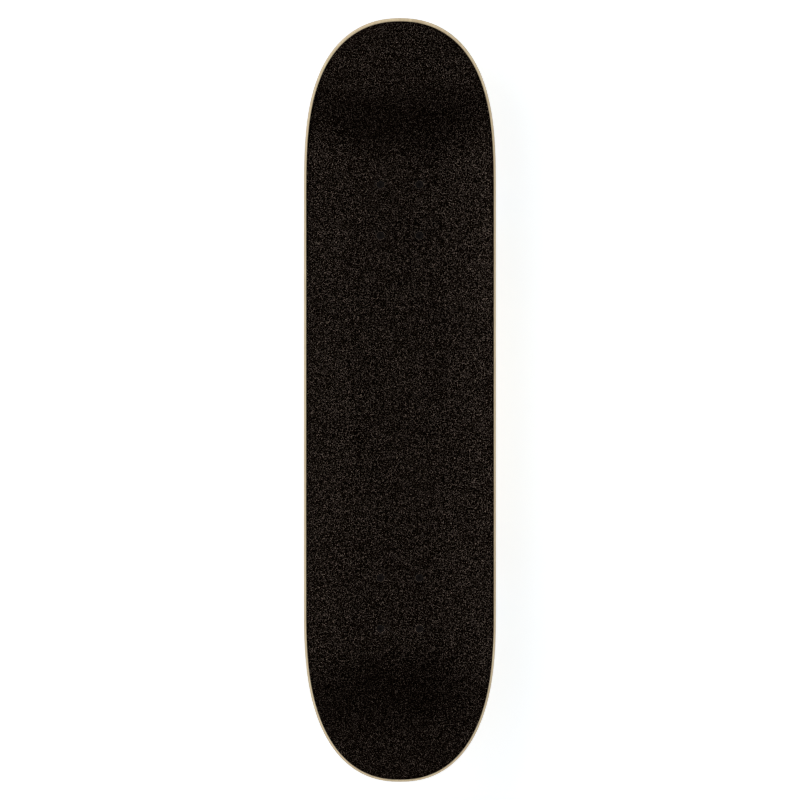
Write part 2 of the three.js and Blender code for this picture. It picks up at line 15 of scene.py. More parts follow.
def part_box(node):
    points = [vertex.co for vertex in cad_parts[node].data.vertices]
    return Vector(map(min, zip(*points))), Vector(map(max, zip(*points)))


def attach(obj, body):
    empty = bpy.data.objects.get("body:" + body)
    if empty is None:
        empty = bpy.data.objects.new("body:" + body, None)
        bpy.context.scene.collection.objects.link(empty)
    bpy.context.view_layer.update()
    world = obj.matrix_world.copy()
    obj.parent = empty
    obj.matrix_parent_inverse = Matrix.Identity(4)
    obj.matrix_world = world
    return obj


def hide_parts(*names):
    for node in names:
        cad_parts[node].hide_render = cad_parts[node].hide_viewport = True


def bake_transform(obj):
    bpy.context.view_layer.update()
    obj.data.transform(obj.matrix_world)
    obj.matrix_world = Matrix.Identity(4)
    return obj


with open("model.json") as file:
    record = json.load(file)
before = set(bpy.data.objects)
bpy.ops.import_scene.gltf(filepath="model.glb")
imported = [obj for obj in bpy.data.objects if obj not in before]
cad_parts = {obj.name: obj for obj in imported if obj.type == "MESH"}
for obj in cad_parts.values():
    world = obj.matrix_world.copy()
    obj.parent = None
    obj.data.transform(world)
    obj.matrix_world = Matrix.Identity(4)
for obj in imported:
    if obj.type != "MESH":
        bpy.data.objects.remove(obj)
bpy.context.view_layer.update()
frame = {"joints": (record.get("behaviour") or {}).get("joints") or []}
scene = bpy.context.scene

MM = 0.001
TURN = 2 * math.pi
ENDS = ("nose", "tail")
SIDES = {"left": 1, "right": -1}
BOLTS = [(end, n) for end in ENDS for n in range(1, 5)]
X, Y, Z = Vector((1, 0, 0)), Vector((0, 1, 0)), Vector((0, 0, 1))
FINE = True


def box_mm(node):
    low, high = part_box(node)
    return low / MM, high / MM


def middle_mm(node):
    low, high = box_mm(node)
    return (low + high) / 2


# ---------------- sizes, in millimetres
DECK_LOW, DECK_HIGH = box_mm("deck")
DECK_LENGTH = DECK_HIGH.x - DECK_LOW.x
DECK_WIDTH = DECK_HIGH.y - DECK_LOW.y
MOUNT_FACE_Z = box_mm("nose_baseplate")[1].z
PLIES = 7
DECK_THICKNESS = PLIES * 1.5
DECK_TOP_Z = MOUNT_FACE_Z + DECK_THICKNESS
EDGE_RADIUS = 3.0
GRIP_GAP = 0.2  # between the deck and the sheet
GRIP_THICKNESS = 0.8
GRIP_INSET = 2.35  # from the plan's edge, and further at the tip of the nose
GRIP_NOSE_TRIM = 1.1

# The plan's ends are superellipse quarters. The kicks are bent along a radius, from a start that is measured
# past the outer bolts.
END_LENGTH = {"nose": 193.0, "tail": 185.0}
END_POWERS = {"nose": (3.2, 2.18), "tail": (2.73, 2.27)}
FLAT_HALF_WIDTH = 28.0
CONCAVE_RISE = 8.5
KICK_CONCAVE_SHARE = 0.45
KICK_START = {"nose": 14.0, "tail": 9.0}
KICK_ANGLE = {"nose": math.radians(21), "tail": math.radians(20)}
KICK_RADIUS = {"nose": 260.0, "tail": 290.0}

BOLT_RADIUS = 2.4
BOLT_HEAD_RADIUS = 4.5
BOLT_SOCKET = 3.175
BOLT_LENGTH = 25.4
BOLT_NUT = 9.525
BOLT_PITCH = 0.8
CLEARANCE = 0.3  # round the deck bolts
AXLE_RADIUS = 3.97
AXLE_NUT = 12.7
AXLE_THREAD = 13
KINGPIN_RADIUS = 4.76
KINGPIN_HEX = 14.29
TRUCK_PITCH = 1.06
HANGER_HALF_WIDTH = box_mm("nose_hanger")[1].y
WHEEL_RADIUS = 26.0
WHEEL_HALF_WIDTH = 15.5
TREAD_HALF_WIDTH = 9.5

# How fine the meshes are drawn
RIM_STATIONS = 420 if FINE else 160
FIELD_STEPS = 26
THREAD_SEGMENTS = 40
THREAD_ROWS = 8  # per pitch
SLIVER = 0.002  # anything shorter is cleared away after a casting's cuts

# Details that rods, threads and nuts share
THREAD_DEPTH = 0.55  # of the pitch
ROD_TIP = 0.35
HEX_CHAMFER = 0.577  # the slope of the cone that trims a hexagon's corners
INSERT_WALL = 0.9


# ---------------- meshes
def skin(rings, segments, close=True):
    """A surface of rings round Z. A ring is (radius, height), or a function of the angle that gives them."""
    bm = bmesh.new()
    rows = []
    for ring in rings:
        row = []
        for k in range(segments):
            angle = TURN * k / segments
            radius, height = ring(angle) if callable(ring) else ring
            row.append(bm.verts.new((radius * math.cos(angle), radius * math.sin(angle), height)))
        rows.append(row)
    if close:
        rows.append(rows[0])
    for low, high in zip(rows, rows[1:]):
        for k in range(segments):
            m = (k + 1) % segments
            bm.faces.new((low[k], low[m], high[m], high[k]))
    bmesh.ops.remove_doubles(bm, verts=bm.verts, dist=1e-4)
    bmesh.ops.recalc_face_normals(bm, faces=bm.faces)
    return bm


def rounded(points, radius, steps=4, loop=True):
    """A polyline whose corners become curves that start the radius, or half a side, away from them."""
    path = []
    count = len(points)
    for i, point in enumerate(points):
        if not loop and i in (0, count - 1):
            path.append(tuple(point))
            continue
        here = Vector(point)
        before = Vector(points[i - 1]) - here
        after = Vector(points[(i + 1) % count]) - here
        start = here + before.normalized() * min(radius, before.length / 2)
        end = here + after.normalized() * min(radius, after.length / 2)
        for k in range(steps + 1):
            t = k / steps
            path.append(tuple(start * (1 - t) ** 2 + here * 2 * t * (1 - t) + end * t**2))
    return path


def lathe(points, segments=96, bevel=0.3, loop=True, steps=4):
    """A turned piece. Its profile closes on itself, or starts and ends on the axis when loop is False."""
    return skin(rounded(points, bevel, steps, loop), segments, close=loop)


def tube(inner, outer, low, high, segments=96, bevel=0.25):
    return lathe([(inner, low), (outer, low), (outer, high), (inner, high)], segments, bevel)


def rod(radius, low, high, segments=64, bevel=0.4):
    return lathe([(0, low), (radius, low), (radius, high), (0, high)], segments, bevel, loop=False)


def threaded_rod(radius, low, thread_from, high, pitch):
    """A rod whose upper stretch carries a helical thread that runs out at both ends."""
    depth = pitch * THREAD_DEPTH
    rows = int((high - thread_from) / pitch * THREAD_ROWS)

    def thread_ring(height):
        def ring(angle):
            phase = (height / pitch - angle / TURN) % 1
            groove = abs(phase - 0.5) * 2
            fade = min((height - thread_from) / pitch, (high - height) / pitch * 0.8 + 0.35, 1)
            return radius - depth * max(fade, 0) * (1 - groove), height

        return ring

    rings = [(0, low), (radius - 0.4, low), (radius, low + 0.4), (radius, thread_from)]
    rings += [thread_ring(thread_from + (high - thread_from) * k / rows) for k in range(1, rows + 1)]
    tip = high + ROD_TIP
    rings += [(radius - depth - 0.2, tip), (0, tip)]
    return skin(rings, THREAD_SEGMENTS, close=False)


def hex_radius(angle, across):
    """Distance from the middle of a hexagon to its side, at an angle."""
    return across / 2 / math.cos((angle + TURN / 12) % (TURN / 6) - TURN / 12)


def hexagon_ring(across, height, chamfer=0.0, corner=0.35):
    """A hexagon with softened corners, cut back by a chamfer cone where it reaches past its flats."""

    def ring(angle):
        limit = across / 2 / math.cos(TURN / 12) - corner
        radius = min(hex_radius(angle, across), limit)
        return radius, height - max(radius - across / 2, 0) * chamfer

    return ring


def hex_nut(across, bore, height, collar):
    """A lock nut seated at height 0: chamfered hexagon, round collar, and room for its nylon insert."""
    body = height - collar
    outer = across * 0.45
    seat = bore + INSERT_WALL
    rings = [
        (bore, 0.4),
        (bore + 0.4, 0),
        (across / 2 * 0.94, 0),
        hexagon_ring(across, 0.0, -HEX_CHAMFER * 0.6),
        hexagon_ring(across, body - 0.15, HEX_CHAMFER),
        hexagon_ring(across - 0.3, body, HEX_CHAMFER),
        (across / 2 * 0.96, body),
        (outer + 0.25, body),
        (outer, body + 0.25),
        (outer, height - 0.6),
        (outer - 0.5, height),
        (seat + 0.2, height),
        (seat, height - 0.25),
        (seat, body),
        (bore, body),
    ]
    return skin(rings, 96)


def merged(*shapes):
    """One bmesh holding several."""
    whole = bmesh.new()
    for shape in shapes:
        mesh = bpy.data.meshes.new("part")
        shape.to_mesh(mesh)
        whole.from_mesh(mesh)
        bpy.data.meshes.remove(mesh)
        shape.free()
    return whole


def placed(bm, direction=Z, origin=(0, 0, 0)):
    """Turns a shape drawn about Z to run along a direction from a point."""
    turn = Z.rotation_difference(direction).to_matrix().to_4x4()
    bmesh.ops.transform(bm, matrix=Matrix.Translation(origin) @ turn, verts=bm.verts)
    return bm


def object_of(name, bm, crease=32):
    """An object with that mesh, smooth except at edges sharper than the crease angle. The bmesh goes."""
    mesh = bpy.data.meshes.new(name)
    bm.to_mesh(mesh)
    bm.free()
    mesh.shade_smooth()
    mesh.set_sharp_from_angle(angle=math.radians(crease))
    obj = bpy.data.objects.new(name, mesh)
    scene.collection.objects.link(obj)
    return obj


def baked(obj):
    """The object's mesh with its modifiers applied. The object goes."""
    bpy.context.view_layer.update()
    evaluated = obj.evaluated_get(bpy.context.evaluated_depsgraph_get())
    mesh = bpy.data.meshes.new_from_object(evaluated)
    bm = bmesh.new()
    bm.from_mesh(mesh)
    bpy.data.meshes.remove(mesh)
    bpy.data.objects.remove(obj)
    return bm


def carve(body, tool):
    """Takes a tool away from an object, by a modifier. The tool has to stay until the object is baked."""
    step = body.modifiers.new("carve", "BOOLEAN")
    step.operation = "DIFFERENCE"
    step.solver = "EXACT"
    step.object = object_of("tool", tool)
    return step.object


def melt(body, voxel):
    """Runs an object's solids together, by a modifier."""
    step = body.modifiers.new("melt", "REMESH")
    step.mode = "VOXEL"
    step.voxel_size = voxel


def cut(bm, tool):
    """A shape less a tool."""
    body = object_of("body", bm)
    cutter = carve(body, tool)
    result = baked(body)
    bpy.data.objects.remove(cutter)
    return result


def casting(solids, rough_cuts, machine_cuts, soften):
    """Solids run together as a casting: cut to room, corners softened, then machined with crisp edges."""
    voxel = 0.7 if FINE else 1.4
    body = object_of("casting", merged(*solids))
    melt(body, voxel)
    tools = [carve(body, tool) for tool in rough_cuts]
    melt(body, voxel)
    smooth = body.modifiers.new("soften", "SMOOTH")
    smooth.factor = 0.6
    smooth.iterations = soften
    tools += [carve(body, tool) for tool in machine_cuts]
    result = baked(body)
    for tool in tools:
        bpy.data.objects.remove(tool)
    bmesh.ops.remove_doubles(result, verts=result.verts, dist=SLIVER)
    bmesh.ops.dissolve_degenerate(result, edges=result.edges, dist=SLIVER)
    bmesh.ops.delete(result, geom=[vert for vert in result.verts if not vert.link_faces], context="VERTS")
    bmesh.ops.holes_fill(result, edges=result.edges, sides=0)
    return result


def piece(name, bm, look, body, nodes=(), matrix=None, crease=32):
    """A finished piece: in metres, shaded, riding on its body and standing for its CAD nodes.

    For a piece that is squeezed between two bodies, body is both of them and two points: where it leaves the
    first body, and where it reaches the second. These are not used: such a piece is attached to neither body.
    """
    if matrix is not None:
        bmesh.ops.transform(bm, matrix=matrix, verts=bm.verts)
    if bm.calc_volume(signed=True) < 0:
        bmesh.ops.reverse_faces(bm, faces=bm.faces)
    bmesh.ops.scale(bm, vec=(MM, MM, MM), verts=bm.verts)
    obj = object_of(name, bm, crease)
    obj.data.materials.clear()
    obj.data.materials.append(look)
    if isinstance(body, tuple):
        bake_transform(obj)
    else:
        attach(obj, body)
    if nodes:
        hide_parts(*nodes)


def hull(*groups):
    """The convex hull of groups of points."""
    bm = bmesh.new()
    for group in groups:
        for point in group:
            bm.verts.new(point)
    made = bmesh.ops.convex_hull(bm, input=bm.verts)
    loose = [v for v in made["geom_interior"] if isinstance(v, bmesh.types.BMVert)]
    bmesh.ops.delete(bm, geom=loose, context="VERTS")
    bmesh.ops.recalc_face_normals(bm, faces=bm.faces)
    return bm


def circle(centre, direction, radius, count=48):
    """Points round a circle whose axis runs along a direction."""
    turn = Z.rotation_difference(direction)
    centre = Vector(centre)
    angles = [TURN * k / count for k in range(count)]
    return [centre + turn @ Vector((radius * math.cos(a), radius * math.sin(a), 0)) for a in angles]


# ---------------- materials
class Look:
    """A Principled material, with short names for the texture nodes that drive it."""

    def __init__(self, name, roughness=0.5, metallic=0.0, **sockets):
        self.material = bpy.data.materials.new(name)
        self.material.use_nodes = True
        self.tree = self.material.node_tree
        self.shader = self.tree.nodes["Principled BSDF"]
        self.place = self.add("ShaderNodeTexCoord").outputs["Object"]
        self.shader.inputs["Roughness"].default_value = roughness
        self.shader.inputs["Metallic"].default_value = metallic
        for socket, value in sockets.items():
            self.shader.inputs[socket.replace("_", " ")].default_value = value

    def add(self, kind, **settings):
        node = self.tree.nodes.new(kind)
        for key, value in settings.items():
            setattr(node, key, value)
        return node

    def link(self, source, target):
        self.tree.links.new(source, target)

    def stretched(self, scale):
        node = self.add("ShaderNodeMapping")
        node.inputs["Scale"].default_value = scale
        self.link(self.place, node.inputs["Vector"])
        return node.outputs["Vector"]

    def noise(self, scale, detail=3.0, stretch=None, rough=0.5, distortion=0.0):
        node = self.add("ShaderNodeTexNoise")
        node.inputs["Scale"].default_value = scale
        node.inputs["Detail"].default_value = detail
        node.inputs["Roughness"].default_value = rough
        node.inputs["Distortion"].default_value = distortion
        self.link(self.stretched(stretch) if stretch else self.place, node.inputs["Vector"])
        return node.outputs["Fac"]

    def cells(self, scale, output="Distance"):
        node = self.add("ShaderNodeTexVoronoi")
        node.inputs["Scale"].default_value = scale
        self.link(self.place, node.inputs["Vector"])
        return node.outputs[output]

    def math(self, operation, a, b=None):
        node = self.add("ShaderNodeMath", operation=operation)
        for socket, value in zip(node.inputs, (a, b)):
            if value is None:
                continue
            if isinstance(value, (int, float)):
                socket.default_value = value
            else:
                self.link(value, socket)
        return node.outputs[0]

    def spread(self, value, low, high, to_low=0.0, to_high=1.0):
        """Value mapped from one range to another, and held within it."""
        node = self.add("ShaderNodeMapRange")
        self.link(value, node.inputs["Value"])
        for key, number in (("From Min", low), ("From Max", high), ("To Min", to_low), ("To Max", to_high)):
            node.inputs[key].default_value = number
        return node.outputs["Result"]

    def mix(self, factor, a, b, blend="MIX"):
        node = self.add("ShaderNodeMix", data_type="RGBA", blend_type=blend)
        if isinstance(factor, (int, float)):
            node.inputs["Factor"].default_value = factor
        else:
            self.link(factor, node.inputs["Factor"])
        for key, value in (("A", a), ("B", b)):
            socket = [s for s in node.inputs if s.name == key and s.type == "RGBA"][0]
            if isinstance(value, tuple):
                socket.default_value = (*value, 1)
            else:
                self.link(value, socket)
        return [s for s in node.outputs if s.type == "RGBA"][0]

    def combined(self, value):
        """A grey of that value."""
        node = self.add("ShaderNodeCombineColor")
        for channel in ("Red", "Green", "Blue"):
            self.link(value, node.inputs[channel])
        return node.outputs["Color"]

    def color(self, source):
        self.link(source, self.shader.inputs["Base Color"])

    def roughness(self, source):
        self.link(source, self.shader.inputs["Roughness"])

    def bump(self, height, strength, distance, under=None):
        node = self.add("ShaderNodeBump")
        if isinstance(strength, float):
            node.inputs["Strength"].default_value = strength
        else:
            self.link(strength, node.inputs["Strength"])
        node.inputs["Distance"].default_value = distance
        self.link(height, node.inputs["Height"])
        if under is not None:
            self.link(under, node.inputs["Normal"])
        self.link(node.outputs["Normal"], self.shader.inputs["Normal"])
        return node.outputs["Normal"]


def grip_look():
    """Black film under mineral grit: dull grains, and a few flat ones that mirror the lights."""
    look = Look("grip_grit", roughness=0.9, Specular_IOR_Level=0.0)
    grain = 3000.0
    channels = look.add("ShaderNodeSeparateColor")
    look.link(look.cells(grain, "Color"), channels.inputs["Color"])
    red, green, blue = (channels.outputs[name] for name in ("Red", "Green", "Blue"))
    glint = look.spread(red, 0.84, 0.88)
    cloud = look.spread(look.noise(14.0, 4.0), 0.3, 0.7, 0.8, 1.25)
    tone = look.math("MULTIPLY", look.spread(blue, 0.0, 1.0, 0.5, 1.6), cloud)
    dull = look.mix(1.0, (0.0016, 0.0008, 0.0004), look.combined(tone), "MULTIPLY")
    flat = look.mix(look.math("POWER", green, 3.8), (0.006, 0.004, 0.0025), (0.44, 0.335, 0.27))
    look.color(look.mix(glint, dull, flat))
    look.link(glint, look.shader.inputs["Metallic"])
    look.roughness(look.spread(glint, 0.0, 1.0, 0.92, 0.285))
    look.bump(look.cells(grain), look.spread(glint, 0.0, 1.0, 0.7, 0.0), 0.0003)
    return look.material


def maple_look():
    """Rotary-cut maple veneers. A vertex attribute says how deep below the top a point lies."""
    look = Look("maple_plies", roughness=0.42, Coat_Weight=0.25, Coat_Roughness=0.2)
    depth = look.add("ShaderNodeAttribute", attribute_name="depth").outputs["Fac"]
    layer = look.math("MULTIPLY", depth, PLIES - 0.001)
    inside = look.math("FRACT", layer)
    odd = look.math("MODULO", look.math("FLOOR", layer), 2.0)
    along = look.noise(5.0, 4.0, (1.2, 22.0, 22.0), 0.55, 0.6)
    fibre = look.noise(16.0, 3.0, (0.8, 50.0, 50.0), 0.55)
    # Painted light: these face tones are lighter than the maple's own, to make up for the light that the
    # rounded rim misses. The bottom face is darkened below, back towards the maple's own tone.
    face = look.mix(look.spread(along, 0.35, 0.68), (0.9, 0.735, 0.465), (0.73, 0.565, 0.335))
    face = look.mix(look.spread(fibre, 0.4, 0.72, 0.0, 0.38), face, (0.57, 0.42, 0.24))
    lower = look.spread(depth, 0.9, 0.96, 1.0, 0.8)
    face = look.mix(1.0, face, look.combined(lower), "MULTIPLY")
    speckle = look.noise(420.0, 2.0)
    cross = look.mix(look.spread(speckle, 0.4, 0.65), (0.40, 0.285, 0.165), (0.30, 0.20, 0.11))
    core = look.mix(look.spread(odd, 0.0, 1.0, 0.0, 0.85), face, cross)
    edge = look.math("MINIMUM", inside, look.math("SUBTRACT", 1.0, inside))
    glue = look.spread(edge, 0.0, 0.055, 0.6, 0.0)
    outer = look.math("MINIMUM", depth, look.math("SUBTRACT", 1.0, depth))
    within = look.spread(outer, 0.004, 0.012)
    look.color(look.mix(look.math("MULTIPLY", glue, within), core, (0.17, 0.10, 0.05)))
    look.roughness(look.spread(fibre, 0.3, 0.7, 0.34, 0.5))
    look.bump(fibre, 0.12, 0.0002)
    return look.material


def cast_look():
    """Tumbled aluminium casting: fine pits over slow unevenness."""
    look = Look("cast_aluminium", roughness=0.4, metallic=1.0)
    cloud = look.noise(60.0, 4.0)
    grain = look.noise(1500.0, 3.0)
    look.color(look.mix(look.spread(cloud, 0.35, 0.7), (0.5, 0.51, 0.52), (0.62, 0.63, 0.64)))
    look.roughness(look.spread(cloud, 0.3, 0.7, 0.3, 0.44))
    slow = look.bump(look.noise(220.0, 3.0), 0.12, 0.0006)
    look.bump(grain, 0.16, 0.00015, slow)
    return look.material


def steel_look(name, bright, dark, roughness=(0.22, 0.42)):
    """Plated steel with faint turning marks and handling haze."""
    look = Look(name, roughness=roughness[0], metallic=1.0)
    haze = look.noise(130.0, 4.0)
    marks = look.noise(900.0, 2.0, (1.0, 6.0, 1.0))
    look.color(look.mix(look.spread(haze, 0.35, 0.7), bright, dark))
    look.roughness(look.spread(haze, 0.3, 0.7, *roughness))
    look.bump(marks, 0.06, 0.0001)
    return look.material


def black_steel_look():
    """Matt black coating, a little browned and rubbed."""
    look = Look("black_oxide", roughness=0.8, metallic=0.0, Specular_IOR_Level=0.08)
    haze = look.noise(400.0, 4.0)
    black = look.mix(look.spread(haze, 0.4, 0.75), (0.006, 0.0045, 0.0038), (0.013, 0.01, 0.0085))
    dust = look.spread(look.noise(1300.0, 2.0), 0.56, 0.7, 0.0, 0.55)
    look.color(look.mix(dust, black, (0.036, 0.029, 0.024)))
    look.roughness(look.spread(haze, 0.3, 0.7, 0.7, 0.9))
    look.bump(look.noise(2500.0, 2.0), 0.1, 0.0001)
    return look.material


def urethane_look(name, light, dark, roughness=(0.3, 0.42), depth=0.0, bump=0.05):
    """Poured urethane: slow cloudiness under a satin skin."""
    look = Look(name, roughness=roughness[0], Subsurface_Weight=depth, Subsurface_Scale=0.002)
    cloud = look.noise(45.0, 3.0)
    look.color(look.mix(look.spread(cloud, 0.3, 0.72), light, dark))
    look.roughness(look.spread(look.noise(160.0, 4.0), 0.3, 0.7, *roughness))
    look.bump(look.noise(1400.0, 2.0), bump, 0.0001)
    return look.material


GRIT = grip_look()
MAPLE = maple_look()
CAST = cast_look()
STEEL = steel_look("plated_steel", (0.66, 0.67, 0.68), (0.5, 0.5, 0.5))
RACE_STEEL = steel_look("bearing_steel", (0.72, 0.72, 0.73), (0.6, 0.6, 0.61), (0.12, 0.25))
BLACK_STEEL = black_steel_look()
WHITE = urethane_look("white_urethane", (0.76, 0.73, 0.66), (0.69, 0.65, 0.57), (0.32, 0.46), 0.15)
AMBER = urethane_look("amber_urethane", (0.72, 0.33, 0.06), (0.6, 0.24, 0.035), (0.22, 0.34), 0.3)
BLACK_RUBBER = urethane_look("black_urethane", (0.02, 0.02, 0.02), (0.035, 0.035, 0.034), (0.5, 0.65))
NYLON = urethane_look("nylon_insert", (0.75, 0.76, 0.74), (0.62, 0.63, 0.6), (0.4, 0.5), 0.1)
SHIELD = urethane_look("bearing_seal", (0.022, 0.022, 0.023), (0.04, 0.04, 0.04), (0.42, 0.55))
CAGE = urethane_look("bearing_cage", (0.6, 0.5, 0.28), (0.5, 0.41, 0.22), (0.4, 0.5))


# ---------------- deck shape
def bolt_x(end):
    """Where an end's outer row of truck bolts is."""
    xs = [middle_mm(f"{end}_bolt_{n}").x for n in range(1, 5)]
    return max(xs) if end == "nose" else min(xs)


BOLTS_X = {end: bolt_x(end) for end in ENDS}


def deck_top(x, y):
    """Height of the deck's top and its slope along the board, over a point of the plan."""
    end = "nose" if x > 0 else "tail"
    past = abs(x) - abs(BOLTS_X[end]) - KICK_START[end]
    angle, radius = KICK_ANGLE[end], KICK_RADIUS[end]
    bend = radius * math.sin(angle)
    if past <= 0:
        rise, slope = 0.0, 0.0
    elif past < bend:
        turn = math.asin(past / radius)
        rise, slope = radius * (1 - math.cos(turn)), math.tan(turn)
    else:
        slope = math.tan(angle)
        rise = radius * (1 - math.cos(angle)) + (past - bend) * slope
    fade = min(max(past / bend, 0), 1)
    concave = CONCAVE_RISE * (1 - (1 - KICK_CONCAVE_SHARE) * fade)
    across = max(abs(y) - FLAT_HALF_WIDTH, 0) / (DECK_WIDTH / 2 - FLAT_HALF_WIDTH)
    return DECK_TOP_Z + rise + concave * across**2, slope if x > 0 else -slope


def deck_point(x, y, depth):
    """A point a depth below the deck's top. The plies keep their thickness where the deck stands steep."""
    z, slope = deck_top(x, y)
    return Vector((x, y, z - depth * math.hypot(1, slope if depth > 0 else 0)))


def plan_edge(t):
    """The plan's left edge: t runs from 0 at the nose tip to 1 at the tail tip."""
    nose_share, tail_share = 0.36, 0.64
    half = DECK_LENGTH / 2
    nose_start, tail_start = half - END_LENGTH["nose"], END_LENGTH["tail"] - half
    if nose_share < t < tail_share:
        along = (t - nose_share) / (tail_share - nose_share)
        return Vector((nose_start + (tail_start - nose_start) * along, DECK_WIDTH / 2))
    end = "nose" if t <= nose_share else "tail"
    turn = (t / nose_share if end == "nose" else (1 - t) / (1 - tail_share)) * math.pi / 2
    m, n = END_POWERS[end]
    along = END_LENGTH[end] * max(math.cos(turn), 0) ** (2 / m)
    across = DECK_WIDTH / 2 * max(math.sin(turn), 0) ** (2 / n)
    return Vector((nose_start + along if end == "nose" else tail_start - along, across))


def plan_outline(u, inset):
    """The plan's edge all the way round from the nose tip, moved inwards."""
    left = u <= 0.5
    t = 2 * u if left else 2 - 2 * u
    step = 1e-4
    tangent = plan_edge(min(t + step, 1)) - plan_edge(max(t - step, 0))
    if t < step or t > 1 - step:
        tangent = Vector((0, 1 if t < step else -1))
    tangent.normalize()
    point = plan_edge(t) + Vector((-tangent.y, tangent.x)) * inset
    return Vector((point.x, point.y if left else -point.y))


SPINE_END = DECK_LENGTH / 2 - 72


def plan_point(u, share, inset):
    """A point of the plan: share runs from 0 on the board's spine to 1 at the edge."""
    edge = plan_outline(u, inset)
    spine = min(max(edge.x, -SPINE_END), SPINE_END)
    return Vector((spine + (edge.x - spine) * share, edge.y * share))


def even_stations(count):
    """Values of u, the share of the way round plan_outline, that are evenly spaced along the edge."""
    samples = 4000
    points = [plan_outline(k / samples, 0) for k in range(samples)]
    lengths = [0.0]
    for k in range(samples):
        lengths.append(lengths[-1] + (points[(k + 1) % samples] - points[k]).length)
    stations, k = [], 0
    for i in range(count):
        target = lengths[-1] * i / count
        while lengths[k + 1] < target:
            k += 1
        stations.append((k + (target - lengths[k]) / (lengths[k + 1] - lengths[k])) / samples)
    return stations


STATIONS = even_stations(RIM_STATIONS)
FIELD = [k / FIELD_STEPS for k in range(FIELD_STEPS + 1)]


def sheet(rings, nose_trim=0.0):
    """A closed sheet that follows the deck. A ring is (share of the way out, inset, depth below the top).
    nose_trim is how much further in the sheet ends at the nose's tip."""
    bm = bmesh.new()
    layer = bm.verts.layers.float.new("depth")
    straight_end = DECK_LENGTH / 2 - END_LENGTH["nose"]
    trims = []
    for u in STATIONS:
        into_nose = max(plan_point(u, 1.0, 0.0).x - straight_end, 0.0) / END_LENGTH["nose"]
        trims.append(nose_trim * into_nose**2)
    rows = []
    for share, inset, depth in rings:
        row = []
        for u, trim in zip(STATIONS, trims):
            plan = plan_point(u, share, inset + trim)
            vert = bm.verts.new(deck_point(plan.x, plan.y, depth))
            vert[layer] = min(max(depth / DECK_THICKNESS, 0.0), 1.0)
            row.append(vert)
        rows.append(row)
    for low, high in zip(rows, rows[1:]):
        for k in range(RIM_STATIONS):
            m = (k + 1) % RIM_STATIONS
            bm.faces.new((low[k], low[m], high[m], high[k]))
    bmesh.ops.remove_doubles(bm, verts=bm.verts, dist=1e-3)
    bmesh.ops.recalc_face_normals(bm, faces=bm.faces)
    return bm


def bolt_tool(profile):
    """One cutting tool for all eight bolt holes."""
    tools = []
    for end, n in BOLTS:
        at = middle_mm(f"{end}_bolt_{n}")
        tools.append(placed(skin(profile, 48, close=False), Z, (at.x, at.y, 0)))
    return merged(*tools)


def make_deck():
    thick = DECK_THICKNESS
    top = [(share, EDGE_RADIUS, 0.0) for share in FIELD]
    bottom = [(share, EDGE_RADIUS, thick) for share in reversed(FIELD)]
    upper, lower = [], []
    for k in range(1, 8):
        turn = math.radians(90 * k / 7)
        inset, depth = EDGE_RADIUS * (1 - math.sin(turn)), EDGE_RADIUS * (1 - math.cos(turn))
        upper.append((1.0, inset, depth))
        lower.append((1.0, inset, thick - depth))
    side = [(1.0, 0.0, EDGE_RADIUS + (thick - 2 * EDGE_RADIUS) * k / 6) for k in range(1, 6)]
    shank_hole, head_hole = BOLT_RADIUS + CLEARANCE, BOLT_HEAD_RADIUS + CLEARANCE
    under, over = MOUNT_FACE_Z - 3, DECK_TOP_Z + 3
    countersunk = [(0, under), (shank_hole, under), (shank_hole, DECK_TOP_Z - 2.5)]
    countersunk += [(head_hole, DECK_TOP_Z - 0.2), (head_hole, over), (0, over)]
    bm = cut(sheet(top + upper + side + lower[::-1] + bottom), bolt_tool(countersunk))
    piece("deck_board", bm, MAPLE, "deck", ["deck"], crease=40)


def make_grip():
    low, high = -GRIP_GAP, -GRIP_GAP - GRIP_THICKNESS
    lip = GRIP_INSET + 0.35
    rings = [(share, GRIP_INSET, low) for share in FIELD]
    rings += [(1.0, GRIP_INSET + 0.02, low - 0.25), (1.0, GRIP_INSET + 0.15, high + 0.12), (1.0, lip, high)]
    rings += [(share, lip, high) for share in reversed(FIELD[:-1])]
    hole, under, over = BOLT_HEAD_RADIUS + 0.06, DECK_TOP_Z - 3, DECK_TOP_Z + 5
    holes = bolt_tool([(0, under), (hole, under), (hole, over), (0, over)])
    bm = cut(sheet(rings, GRIP_NOSE_TRIM), holes)
    piece("grip_sheet", bm, GRIT, "deck", ["grip_tape"], crease=40)


# ---------------- bolts through the deck
def deck_bolt_shape():
    """A countersunk socket-head bolt, measured down from the top of its head."""
    head, neck = BOLT_HEAD_RADIUS, 3.6
    rings = [
        (0, 3.2),
        hexagon_ring(BOLT_SOCKET, 2.8, corner=0.0),
        hexagon_ring(BOLT_SOCKET, 0.25, corner=0.0),
        hexagon_ring(BOLT_SOCKET + 0.45, 0.0, corner=0.0),
        (3.3, 0.0),
        (3.5, -0.05),
        (head - 0.16, 0.0),
        (head - 0.04, 0.05),
        (head, 0.2),
        (BOLT_RADIUS + 0.3, 2.2),
        (BOLT_RADIUS, 2.7),
        (BOLT_RADIUS, neck),
        (0, neck),
    ]
    shank = threaded_rod(BOLT_RADIUS, neck - 0.1, BOLT_LENGTH - 12, BOLT_LENGTH - ROD_TIP, BOLT_PITCH)
    return merged(skin(rings, 48, close=False), shank)


